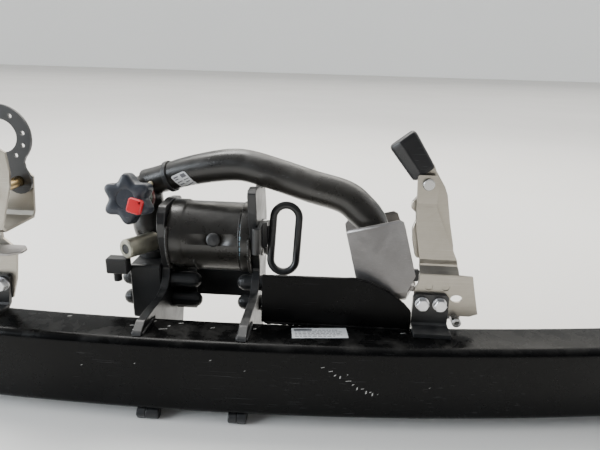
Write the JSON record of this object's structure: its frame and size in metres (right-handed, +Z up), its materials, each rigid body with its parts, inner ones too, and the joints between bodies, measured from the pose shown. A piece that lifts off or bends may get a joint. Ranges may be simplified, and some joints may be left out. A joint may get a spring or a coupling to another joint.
{
  "type": "tow bar cross-beam with detachable swan neck",
  "caption": "Bowed steel tow-bar cross-beam carrying a stowed detachable swan neck with handwheel and lock, its receiver, ball pocket, release lever and folding socket ring.",
  "frame": {"origin": "bottom centre of the assembly's box", "axes": "+X along the beam toward the ball end of the stowed neck, +Y from the beam's face toward the stowed mechanism, +Z up"},
  "size_m": [1.0966, 0.194, 0.3374],
  "materials": {
    "black_paint": "satin black powder coat",
    "dark_steel": "dark grey phosphate coat",
    "zinc": "bright zinc plate",
    "chrome": "polished",
    "olive": "dull olive passivate",
    "blue_grey": "fine grained",
    "red": "smooth",
    "green": "painted band",
    "black_plastic": "fine grained",
    "brass": "turned",
    "cream": "smooth",
    "label": "silver film",
    "rubber": "moulded",
    "bright_steel": "ground"
  },
  "bodies": {
    "carrier": {"ball_pocket": "zinc", "beam_label": "label", "bearing_disc": "dark_steel", "bracket_bolt_1": "zinc", "bracket_bolt_2": "zinc", "clamp_bolt_left_lower": "dark_steel", "clamp_bolt_left_upper": "dark_steel", "clamp_bolt_right_lower": "dark_steel", "clamp_bolt_right_upper": "dark_steel", "crossbeam": "black_paint", "crosspiece": "dark_steel", "end_flange_left": "black_paint", "end_flange_right": "black_paint", "eyelet_plate": "black_paint", "eyelet_ring": "black_paint", "foot_lug_left": "black_paint", "foot_lug_right": "black_paint", "gusset_plate": "black_paint", "holder_angle": "black_paint", "holder_arm": "zinc", "holder_bolt": "zinc", "holder_fork": "zinc", "holder_shelf": "zinc", "housing_plug": "dark_steel", "housing_shaft": "dark_steel", "inner_block": "dark_steel", "lever_angle": "black_paint", "lever_bracket": "zinc", "lever_pivot": "bright_steel", "pocket_side_block": "black_plastic", "pocket_stop": "zinc", "receiver_block": "dark_steel", "receiver_collar": "rubber", "ring_pin": "brass", "sensor_box": "black_plastic", "side_bushing": "bright_steel", "side_plate_left": "black_paint", "side_plate_right": "black_paint", "side_tab": "zinc", "swivel_housing": "black_paint", "thrust_washer": "bright_steel"},
    "neck": {"swan_neck": "black_paint", "tow_ball": "dark_steel", "plug_shaft": "bright_steel", "plug_collar": "chrome", "neck_collar": "dark_steel", "index_pin": "cream", "detent_housing": "olive", "detent_screw": "dark_steel", "marker_red": "red", "marker_green": "green"},
    "spindle_body": {"spindle": "bright_steel"},
    "wheel": {"handwheel": "blue_grey"},
    "lock": {"key_head": "red", "lock_barrel": "zinc"},
    "lever": {"release_lever": "zinc", "lever_grip": "black_plastic"},
    "ring": {"socket_ring": "black_paint"}
  },
  "joints": [
    {"name": "neck_lift", "type": "slide", "parent": "carrier", "child": "neck", "axis": [-0.1564, 0.2222, 0.9624], "range_m": [0, 0.09]},
    {"name": "wheel_pull", "type": "slide", "parent": "neck", "child": "spindle_body", "axis": [-0.0681, -0.9745, 0.2139], "range_m": [0, 0.008], "stiffness_N_per_m": 1500, "springref_m": -0.004},
    {"name": "wheel_turn", "type": "hinge", "parent": "spindle_body", "child": "wheel", "pos_m": [-0.09419, 0.02183, 0.22474], "axis": [-0.0681, -0.9745, 0.2139], "range_deg": [0, 90]},
    {"name": "key_turn", "type": "hinge", "parent": "wheel", "child": "lock", "pos_m": [-0.08049, 0.0037, 0.22129], "axis": [-0.0681, -0.9745, 0.2139], "range_deg": [0, 90]},
    {"name": "lever_swing", "type": "hinge", "parent": "carrier", "child": "lever", "pos_m": [0.2468, -0.02058, 0.2692], "axis": [0, -1, 0], "range_deg": [0, 25]},
    {"name": "ring_fold", "type": "hinge", "parent": "carrier", "child": "ring", "pos_m": [-0.192, -0.03698, 0.2562], "axis": [0, 1, 0], "range_deg": [0, 90]}
  ]
}
